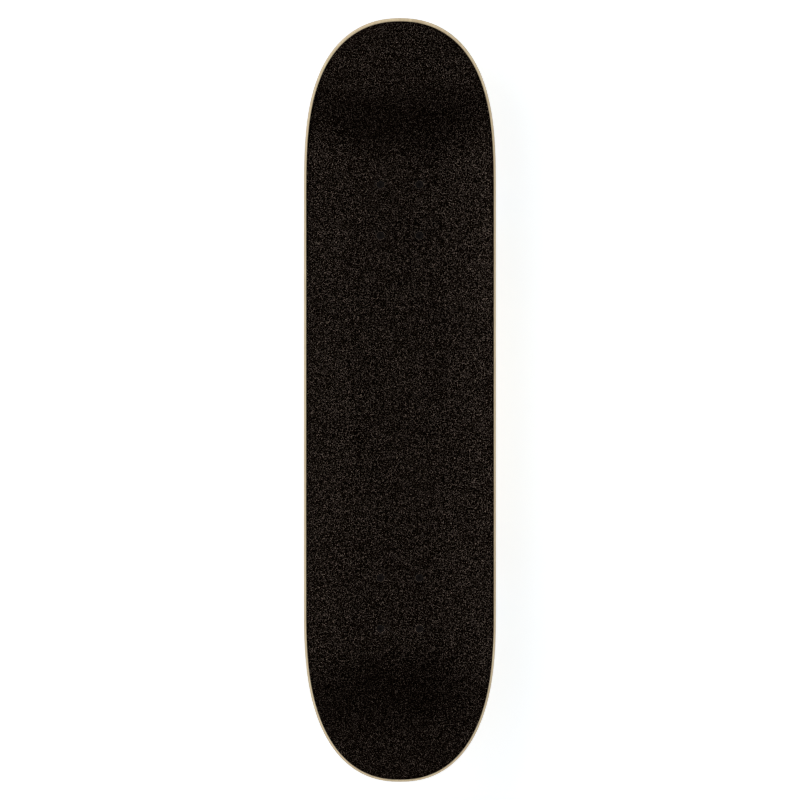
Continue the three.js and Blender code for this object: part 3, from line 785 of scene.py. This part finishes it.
def make_deck_bolts():
    for end, n in BOLTS:
        low, high = box_mm(f"{end}_bolt_{n}")
        at = (low + high) / 2
        bolt = placed(deck_bolt_shape(), -Z, Vector((at.x, at.y, high.z)))
        piece(f"{end}_deck_bolt_{n}", bolt, BLACK_STEEL, "deck", [f"{end}_bolt_{n}"])
        seat = Vector((at.x, at.y, box_mm(f"{end}_locknut_{n}")[1].z))
        nut = placed(hex_nut(BOLT_NUT, BOLT_RADIUS + 0.1, 5.8, 1.6), -Z, seat)
        piece(f"{end}_deck_nut_{n}", nut, BLACK_STEEL, "deck", [f"{end}_locknut_{n}"])
        insert = placed(tube(BOLT_RADIUS + 0.05, BOLT_RADIUS + 0.95, 4.3, 5.5, 48, 0.15), -Z, seat)
        piece(f"{end}_deck_nut_insert_{n}", insert, NYLON, "deck")


# ---------------- trucks, in the truck's own frame
TRUCK_PLACE = {}
for end in ENDS:
    plate = middle_mm(f"{end}_baseplate")
    turn = Matrix.Rotation(math.pi if end == "nose" else 0, 4, "Z")
    TRUCK_PLACE[end] = Matrix.Translation((plate.x, 0, MOUNT_FACE_Z)) @ turn

steer = [joint for joint in frame["joints"] if joint["name"] == "tail_steer"][0]
to_truck = TRUCK_PLACE["tail"].inverted()
RING_CENTRE = to_truck @ (Vector(steer["pos_m"]) / MM)
PIVOT_AXIS = Vector(steer["axis"]).normalized()
PIVOT_CENTRE = RING_CENTRE + PIVOT_AXIS * 40
AXLE_CENTRE = to_truck @ middle_mm("tail_axle")
KINGPIN_TILT = math.radians(20)
KINGPIN_AXIS = Vector((math.sin(KINGPIN_TILT), 0, -math.cos(KINGPIN_TILT)))

# Stations along the kingpin, from the ring's centre towards the road
RING_HALF, RING_WEB = 6.0, 3.0
BOARD_BUSHING = (-18.6, -3.1)
ROAD_BUSHING = (3.1, 14.6)
BOARD_WASHER = -20.7
ROAD_WASHER = 14.7
BASE_SEAT = -20.8
KINGPIN_NUT = 16.8
KINGPIN_END = 27.0
KINGPIN_HEAD = (-31.6, -26.4)

# Stations along the steering axis, from the pivot's centre
CUP_MOUTH, CUP_FLOOR = -8.0, 7.2

STEM_RADIUS = 6.0
BUSHING_SEAT_RADIUS = 13.0
WASHER_ROOM_RADIUS = 16.5
BUSHING_BORE = KINGPIN_RADIUS + 0.25
HOLE_PLACES = [(x, y) for x in (-26.99, 26.99) for y in (-20.64, 20.64)]
PAST = 60  # a tool that starts or ends well outside the casting


def along_kingpin(bm):
    return placed(bm, KINGPIN_AXIS, RING_CENTRE)


def along_pivot(bm):
    return placed(bm, PIVOT_AXIS, PIVOT_CENTRE)


def along_axle(bm):
    return placed(bm, Y, AXLE_CENTRE)


def ring_point(station):
    return RING_CENTRE + KINGPIN_AXIS * station


def pivot_point(station):
    return PIVOT_CENTRE + PIVOT_AXIS * station


def quarter_round(radius):
    """A quarter circle's points, from its widest at height 0 up to the axis."""
    turns = [TURN / 4 * k / 8 for k in range(9)]
    return [(radius * math.cos(turn), radius * math.sin(turn)) for turn in turns]


def rounded_plate(length, width, low, high, corner, steps=12):
    """A plate with round corners, lying flat."""
    ring = []
    for i, (sx, sy) in enumerate(((1, 1), (-1, 1), (-1, -1), (1, -1))):
        for k in range(steps + 1):
            angle = TURN / 4 * (i + k / steps)
            x = sx * (length / 2 - corner) + corner * math.cos(angle)
            y = sy * (width / 2 - corner) + corner * math.sin(angle)
            ring.append((x, y))
    return hull([(x, y, low) for x, y in ring], [(x, y, high) for x, y in ring])


def baseplate_shape():
    top, bottom = -1, -5.0
    plate = rounded_plate(80, 55, -5.5, 1.5, 9)
    boss = hull(
        circle(ring_point(BASE_SEAT), KINGPIN_AXIS, 13.6),
        circle((4, 0, bottom), Z, 20.5),
        circle((4, 0, top), Z, 20.5),
    )
    socket = hull(
        circle(pivot_point(CUP_MOUTH + 1.2), PIVOT_AXIS, 11.0),
        circle(pivot_point(CUP_FLOOR + 1.5), PIVOT_AXIS, 10.6),
        circle((-27, 0, bottom), Z, 12.5),
        circle((-27, 0, top), Z, 12.5),
    )
    bridge = hull(circle((-22, 0, -8), X, 6.5, 24), circle((4, 0, -8), X, 6.5, 24))
    ribs = [
        hull(
            circle((8, y, bottom), Z, 2.2, 16),
            circle((30, y * 0.75, bottom), Z, 2.2, 16),
            circle((9, y * 0.9, -9), Z, 1.6, 16),
        )
        for y in (-13, 13)
    ]
    holes = [placed(rod(BOLT_RADIUS + CLEARANCE, -12, 12, 48, 0.0), Z, (x, y, 0)) for x, y in HOLE_PLACES]
    spot_faces = [placed(rod(6.3, -20, -5.52, 48, 0.0), Z, (x, y, 0)) for x, y in HOLE_PLACES]
    above = rounded_plate(120, 90, 0, 20, 5)
    room = along_kingpin(rod(WASHER_ROOM_RADIUS, BASE_SEAT, 20, 96, 0.0))
    pocket = along_kingpin(rod(9.4, -PAST, KINGPIN_HEAD[1] + 0.1, 96, 0.0))
    bore = along_kingpin(rod(BUSHING_BORE, -PAST, 0, 64, 0.0))
    cup_bore = along_pivot(rod(8.0, CUP_MOUTH - 20, CUP_FLOOR + 0.3, 96, 0.0))
    machined = [above, merged(*holes), merged(*spot_faces), room, pocket, bore, cup_bore]
    return casting([plate, boss, socket, bridge, *ribs], [], machined, 6)


def hanger_shape():
    end = HANGER_HALF_WIDTH
    arm = [(0, -end - 2), (8.3, -end - 2), (8.3, 9 - end), (9.9, 20 - end), (10.5, -12)]
    beam = along_axle(lathe(arm + [(r, -h) for r, h in reversed(arm)], 96, 4.0, False, 8))
    stem_foot = pivot_point(CUP_MOUTH - 4)
    web = hull(
        circle(stem_foot, PIVOT_AXIS, 6.6),
        circle(AXLE_CENTRE + Y * 42, Y, 8.4),
        circle(AXLE_CENTRE - Y * 42, Y, 8.4),
        circle(ring_point(-RING_WEB), KINGPIN_AXIS, BUSHING_SEAT_RADIUS),
        circle(ring_point(RING_WEB), KINGPIN_AXIS, BUSHING_SEAT_RADIUS),
    )
    ring = along_kingpin(rod(17.0, -RING_HALF, RING_HALF, 96, 0.8))
    stem = along_pivot(skin([(0, -24), (STEM_RADIUS, -24), *quarter_round(STEM_RADIUS)], 64, close=False))
    room = along_kingpin(rod(WASHER_ROOM_RADIUS, -PAST, -RING_HALF, 96, 0.0))
    nut_room = along_kingpin(rod(13.8, RING_HALF, PAST, 96, 0.0))
    seats = [
        along_kingpin(rod(BUSHING_SEAT_RADIUS, RING_WEB, RING_HALF + 3, 96, 0.0)),
        along_kingpin(rod(BUSHING_SEAT_RADIUS, -RING_HALF - 3, -RING_WEB, 96, 0.0)),
        along_kingpin(rod(7.6, -12, 12, 96, 0.0)),
    ]
    faces = [along_axle(rod(20, low, low + 12, 48, 0.0)) for low in (end, -end - 12)]
    bore = along_axle(rod(AXLE_RADIUS + 0.05, -end - 4, end + 4, 64, 0.0))
    return casting([beam, web, ring, stem], [room, nut_room], [*seats, *faces, bore], 5)


def bushing_shape(profile):
    points = [(BUSHING_BORE, profile[0][1]), *profile, (BUSHING_BORE, profile[-1][1])]
    return lathe(points, 96, 1.2, steps=6)


def board_bushing_shape():
    low, high = BOARD_BUSHING
    middle = (low + high) / 2
    return bushing_shape([(11.6, low), (12.2, low + 3), (11.5, middle), (12.2, high - 3), (11.6, high)])


def road_bushing_shape():
    low, high = ROAD_BUSHING
    return bushing_shape([(11.4, low), (12.2, low + 2), (12.0, low + 4.5), (9.3, high - 1.0), (8.6, high)])


def washer_shape(radius, low, cup):
    """A pressed washer whose rim turns towards its bushing: cup is 1 road-wards and -1 board-wards."""
    thick, tall = 1.2, 2.3
    base = low if cup > 0 else low + 2.0
    profile = [
        (BUSHING_BORE, 0),
        (radius - 1.6, 0),
        (radius, 1.4),
        (radius, tall),
        (radius - 1.0, tall),
        (radius - 2.2, thick),
        (BUSHING_BORE, thick),
    ]
    return lathe([(r, base + cup * h) for r, h in profile], 96, 0.35)


def kingpin_shape():
    low, high = KINGPIN_HEAD
    across = KINGPIN_HEX
    head = [
        (0, low + 0.1),
        (across / 2 * 0.9, low),
        hexagon_ring(across - 0.3, low + 0.05, -0.5),
        hexagon_ring(across, low + 0.25, -0.5),
        hexagon_ring(across, high - 0.1),
        (across / 2 * 0.95, high),
        (0, high),
    ]
    shank = threaded_rod(KINGPIN_RADIUS, high - 0.5, KINGPIN_NUT - 1.5, KINGPIN_END - 0.3, TRUCK_PITCH)
    return along_kingpin(merged(skin(head, 96, close=False), shank))


def pivot_cup_shape():
    """The cup's rounded hollow, the lip round its mouth, then its outside up to the floor."""
    bore, outer, lip = 6.35, 7.85, 8.75
    profile = [
        *reversed(quarter_round(bore)),
        (bore, CUP_MOUTH + 0.3),
        (bore + 0.3, CUP_MOUTH),
        (lip, CUP_MOUTH),
        (lip, CUP_MOUTH + 1.0),
        (outer, CUP_MOUTH + 1.2),
        (outer, CUP_FLOOR - 0.4),
        (outer - 0.4, CUP_FLOOR),
        (0, CUP_FLOOR),
    ]
    return along_pivot(skin(profile, 96, close=False))


def axle_shape():
    """A plain rod with a threaded tip run into it at each end."""
    half = box_mm("nose_axle")[1].y
    plain, start = half - AXLE_THREAD + 1, half - AXLE_THREAD
    shapes = [along_axle(rod(AXLE_RADIUS, -plain, plain, 64, 0.1))]
    for way in (Y, -Y):
        tip = threaded_rod(AXLE_RADIUS, 0, 2, AXLE_THREAD - ROD_TIP, TRUCK_PITCH)
        shapes.append(placed(tip, way, AXLE_CENTRE + way * start))
    return merged(*shapes)


def make_trucks():
    shapes = {"baseplate": baseplate_shape(), "hanger": hanger_shape()}
    for end in ENDS:
        place, hanger = TRUCK_PLACE[end], f"{end}_hanger"

        def add(node, shape, look, body, stands_for=True):
            nodes = [f"{end}_{node}"] if stands_for else []
            piece(f"{end}_truck_{node}", shape, look, body, nodes, place)

        def squeezed(*stations):
            """The deck, the hanger and the points at the two stations where the piece meets them; piece
            attaches it to neither.
            """
            return ("deck", hanger, *(place @ ring_point(station) * MM for station in stations))

        add("baseplate", shapes["baseplate"].copy(), CAST, "deck")
        add("pivot_cup", pivot_cup_shape(), BLACK_RUBBER, "deck")
        add("kingpin", kingpin_shape(), STEEL, "deck")
        board_bushing = along_kingpin(board_bushing_shape())
        add("board_bushing", board_bushing, AMBER, squeezed(*BOARD_BUSHING))
        road_bushing = along_kingpin(road_bushing_shape())
        add("road_bushing", road_bushing, AMBER, squeezed(*reversed(ROAD_BUSHING)))
        board_washer = along_kingpin(washer_shape(13.4, BOARD_WASHER, 1))
        add("board_washer", board_washer, STEEL, "deck")
        road_washer = along_kingpin(washer_shape(10.9, ROAD_WASHER, -1))
        add("road_washer", road_washer, STEEL, "deck")
        seat = ring_point(KINGPIN_NUT)
        nut = placed(hex_nut(KINGPIN_HEX, KINGPIN_RADIUS + 0.1, 8.4, 2.0), KINGPIN_AXIS, seat)
        add("kingpin_nut", nut, STEEL, "deck")
        insert = tube(KINGPIN_RADIUS + 0.05, KINGPIN_RADIUS + 0.98, 6.6, 8.1, 64, 0.2)
        add("kingpin_nut_insert", placed(insert, KINGPIN_AXIS, seat), NYLON, "deck", False)
        add("hanger", shapes["hanger"].copy(), CAST, hanger)
        add("axle", axle_shape(), STEEL, hanger)
    for shape in shapes.values():
        shape.free()


# ---------------- wheels, measured outwards along the axle
BALLS = 7
BALL_RADIUS = 1.98
BALL_CIRCLE = 7.52
END_PLAY = 0.02


def wheel_shape():
    """A wheel with round shoulders, dished faces, and a seat for a bearing in each side."""
    half, radius = WHEEL_HALF_WIDTH, WHEEL_RADIUS
    seat, floor, bore = 11.1, 4.9, 8.6
    shoulder = [(radius, TREAD_HALF_WIDTH - 4)]
    for k in range(13):
        angle = TURN / 4 * k / 12
        shoulder.append((radius - 7 * (1 - math.cos(angle)), TREAD_HALF_WIDTH + 6 * math.sin(angle)))
    dish = [(16.6, 0.35), (15.6, 0.9), (14.6, 1.6), (13.6, 2.1), (12.2, 2.3), (seat + 0.35, 2.5), (seat, 2.9)]
    side = shoulder + [(r, half - sunk) for r, sunk in dish] + [(seat, floor), (bore, floor)]
    profile = [(r, -h) for r, h in reversed(side)] + side
    return skin(profile, 160)


def race_shape(width, groove_radius, lift, face):
    """A bearing's race: a groove for the balls, and the same face on both sides."""
    groove = [(groove_radius + lift * (abs(k) / 4) ** 2, width / 2 + k * 0.35) for k in range(-4, 5)]
    return skin(groove + [(r, width - h) for r, h in face] + [(r, h) for r, h in reversed(face)], 96)


def outer_race_shape(width):
    face = [(9.1, 0.9), (9.7, 0.8), (9.7, 0.12), (9.85, 0), (10.75, 0), (11.0, 0.3)]
    return race_shape(width, 9.55, -0.45, face)


def inner_race_shape(width):
    face = [(5.95, 0.2), (5.75, 0), (4.6, 0), (4.3, 0.3)]
    return race_shape(width, 5.5, 0.45, face)


def seal_shape(face, way):
    """A bearing seal, stamped with a shallow ring. way is 1 when it closes the outer side."""
    profile = [(6.2, 0.35), (7.0, 0.35), (7.25, 0.6), (8.4, 0.6), (8.7, 0.25), (9.65, 0.25)]
    back = [(r, h + 0.35) for r, h in reversed(profile)]
    return skin([(r, face - way * h) for r, h in profile + back], 96)


def balls_shape(width):
    shapes = []
    for k in range(BALLS):
        angle = TURN * k / BALLS
        spot = (BALL_CIRCLE * math.cos(angle), BALL_CIRCLE * math.sin(angle), width / 2)
        ball = bmesh.new()
        bmesh.ops.create_icosphere(ball, subdivisions=3, radius=BALL_RADIUS)
        bmesh.ops.translate(ball, vec=spot, verts=ball.verts)
        shapes.append(ball)
    return merged(*shapes)


def cage_shape(width):
    """A crown that keeps the balls apart: tall between them and low behind them."""
    inner, outer, low = 7.1, 7.9, width / 2 - 2.5

    def crown(radius):
        def ring(angle):
            between = 0.5 - 0.5 * math.cos(BALLS * angle)
            return radius, width / 2 - 2.05 + 1.52 * between**2

        return ring

    return skin([(inner, low), (outer, low), crown(outer), crown(inner)], 112)


def make_wheels():
    for end in ENDS:
        axle = middle_mm(f"{end}_axle")
        hanger = f"{end}_hanger"
        for side, sign in SIDES.items():
            name = f"{end}_{side}"
            body = f"{name}_wheel"
            out = Y * sign

            def at(distance):
                return axle + out * distance

            def reach(node):
                low, high = box_mm(node)
                return sorted((abs(low.y), abs(high.y)))

            near, far = reach(f"{name}_wheel")
            wheel = placed(wheel_shape(), out, at((near + far) / 2))
            piece(f"{name}_wheel_tyre", wheel, WHITE, body, [f"{name}_wheel"], crease=50)
            for where in ("inner", "outer"):
                node = f"{name}_{where}_bearing"
                start, stop = reach(node)
                width = stop - start
                spot = at(start)
                race = placed(outer_race_shape(width), out, spot)
                piece(f"{node}_race", race, RACE_STEEL, body, [node])
                for label, face, way in (("near", 0.0, -1), ("far", width, 1)):
                    seal = placed(seal_shape(face, way), out, spot)
                    piece(f"{node}_{label}_seal", seal, SHIELD, body)
                piece(f"{node}_balls", placed(balls_shape(width), out, spot), RACE_STEEL, body)
                piece(f"{node}_cage", placed(cage_shape(width), out, spot), CAGE, body)
                race = placed(inner_race_shape(width), out, spot)
                piece(f"{node}_inner_race", race, RACE_STEEL, hanger, [f"{name}_sleeve"])
            begin, finish = reach(f"{name}_sleeve")
            inner_from, inner_to = reach(f"{name}_inner_bearing")
            outer_from, outer_to = reach(f"{name}_outer_bearing")
            spacer = tube(AXLE_RADIUS + 0.3, 5.2, inner_to + END_PLAY, outer_from - END_PLAY, 64)
            piece(f"{name}_spacer", placed(spacer, out, at(0)), STEEL, hanger, [f"{name}_sleeve"])
            for label, low, high in (("inner", begin, inner_from), ("outer", outer_to, finish)):
                ring = tube(AXLE_RADIUS + 0.15, 5.9, low + END_PLAY, high - END_PLAY, 64, 0.2)
                ring = placed(ring, out, at(0))
                piece(f"{name}_{label}_speed_ring", ring, STEEL, hanger, [f"{name}_sleeve"])
            low, high = reach(f"{name}_axle_nut")
            height = high - low
            nut = placed(hex_nut(AXLE_NUT, AXLE_RADIUS + 0.1, height, 2.0), out, at(low))
            piece(f"{name}_locknut", nut, STEEL, hanger, [f"{name}_axle_nut"])
            insert = tube(AXLE_RADIUS + 0.05, AXLE_RADIUS + 0.98, height - 1.8, height - 0.3, 64, 0.2)
            piece(f"{name}_locknut_insert", placed(insert, out, at(low)), NYLON, hanger)


# ---------------- studio
# The dome of light has a dark gap towards each end of the board, which the bends of the kicks mirror.
# The gap on the nose's side reaches a little further.
GAP_ANGLE = math.radians(22)  # of the gap's middle from straight up
GAP_NARROWNESS = 1.4
GAP_EDGE = (0.26, 0.38)
GAP_REACH = {"tail": 1.0, "nose": 0.86}
SPINE = (0.36, 1.35, 0.82)  # half the width, and the light in the middle and beside it
CROWN = (0.24, 1.35, 1.0)
HORIZON = (0.06, 0.26, 1.0, 0.28)  # from one height to another, and the light there
OVERHEAD = (0.4, 0.62, 0.0, 0.7)
DOME_COLOR = (0.97, 0.98, 1.0, 1)
PAPER_GLOW = (0.9, 0.955, 1, 1)
PAPER_GLOW_STRENGTH = 0.54

CAMERA_DISTANCE = 20.0
BOARD_SHARE = 0.953  # of the picture's height


def make_floor():
    floor = bmesh.new()
    bmesh.ops.create_grid(floor, x_segments=8, y_segments=8, size=30)
    floor_obj = object_of("studio_floor", floor)
    paper = Look("paper", roughness=0.85, Specular_IOR_Level=0.1)
    paper.color(paper.mix(paper.spread(paper.noise(3.0), 0.3, 0.7), (0.84, 0.84, 0.84), (0.86, 0.86, 0.86)))
    paper.shader.inputs["Emission Color"].default_value = PAPER_GLOW
    paper.shader.inputs["Emission Strength"].default_value = PAPER_GLOW_STRENGTH
    floor_obj.data.materials.append(paper.material)


def make_dome():
    """The world: bright along the board's line and overhead, but for the two gaps."""
    world = scene.world or bpy.data.worlds.new("studio")
    scene.world = world
    world.use_nodes = True
    nodes, links = world.node_tree.nodes, world.node_tree.links

    def node(kind, *sources):
        """A node whose first inputs are linked or set."""
        new = nodes.new(kind)
        for socket, source in zip(new.inputs, sources):
            if isinstance(source, (int, float, tuple)):
                socket.default_value = source
            else:
                links.new(source, socket)
        return new

    def calculated(operation, *sources):
        new = node("ShaderNodeMath", *sources)
        new.operation = operation
        return new.outputs["Value"]

    def ramp(source, start, stop, low, high, style="LINEAR"):
        new = node("ShaderNodeMapRange", source, start, stop, low, high)
        new.interpolation_type = style
        return new.outputs["Result"]

    split = node("ShaderNodeSeparateXYZ", nodes.new("ShaderNodeTexCoord").outputs["Generated"])
    along, aside, height = (split.outputs[axis] for axis in "XYZ")
    from_middle = calculated("ABSOLUTE", along)
    from_spine = calculated("ABSOLUTE", aside)
    narrowed = calculated("MULTIPLY", from_spine, GAP_NARROWNESS)
    folded = node("ShaderNodeCombineXYZ", from_middle, narrowed, height)
    gap_middle = (math.sin(GAP_ANGLE), 0, math.cos(GAP_ANGLE))
    from_gap = node("ShaderNodeVectorMath", folded.outputs["Vector"], gap_middle)
    from_gap.operation = "DISTANCE"
    reach = ramp(along, -0.1, 0.1, GAP_REACH["tail"], GAP_REACH["nose"])
    scaled = calculated("MULTIPLY", from_gap.outputs["Value"], reach)
    gap = ramp(scaled, *GAP_EDGE, 0, 1, "SMOOTHSTEP")
    dome = calculated("ADD", ramp(height, *HORIZON), ramp(height, *OVERHEAD))
    dome = calculated("MULTIPLY", dome, ramp(from_spine, 0, *SPINE, "SMOOTHSTEP"))
    dome = calculated("MULTIPLY", dome, ramp(from_middle, 0, *CROWN, "SMOOTHSTEP"))
    sky = nodes["Background"]
    sky.inputs["Color"].default_value = DOME_COLOR
    links.new(calculated("MULTIPLY", dome, gap), sky.inputs["Strength"])


def make_key_light():
    """One large soft lamp, high on the board's left."""
    lamp = bpy.data.lights.new("key", "AREA")
    lamp.shape = "RECTANGLE"
    lamp.size = lamp.size_y = 1.2
    lamp.energy = 7
    key = bpy.data.objects.new("key", lamp)
    key.location = (0.8, 1.2, 1.9)
    key.rotation_euler = (Vector((0, 0, 0.05)) - key.location).to_track_quat("-Z", "Y").to_euler()
    key.visible_camera = False
    scene.collection.objects.link(key)


def make_camera():
    """Straight above, from far away, with the nose at the top of the picture."""
    lens = bpy.data.cameras.new("camera")
    lens.type = "PERSP"
    lens.sensor_width = 36
    picture_height = DECK_LENGTH * MM / BOARD_SHARE
    lens.lens = lens.sensor_width * (CAMERA_DISTANCE - DECK_TOP_Z * MM) / picture_height
    lens.clip_end = 100
    camera = bpy.data.objects.new("camera", lens)
    camera.location = (0, 0, CAMERA_DISTANCE)
    camera.rotation_euler = (0, 0, -math.pi / 2)
    scene.collection.objects.link(camera)
    scene.camera = camera


scene.view_settings.view_transform = "Standard"
scene.view_settings.look = "None"
make_camera()
make_floor()
make_dome()
make_key_light()
make_deck()
make_grip()
make_deck_bolts()
make_trucks()
make_wheels()

bpy.context.view_layer.update()
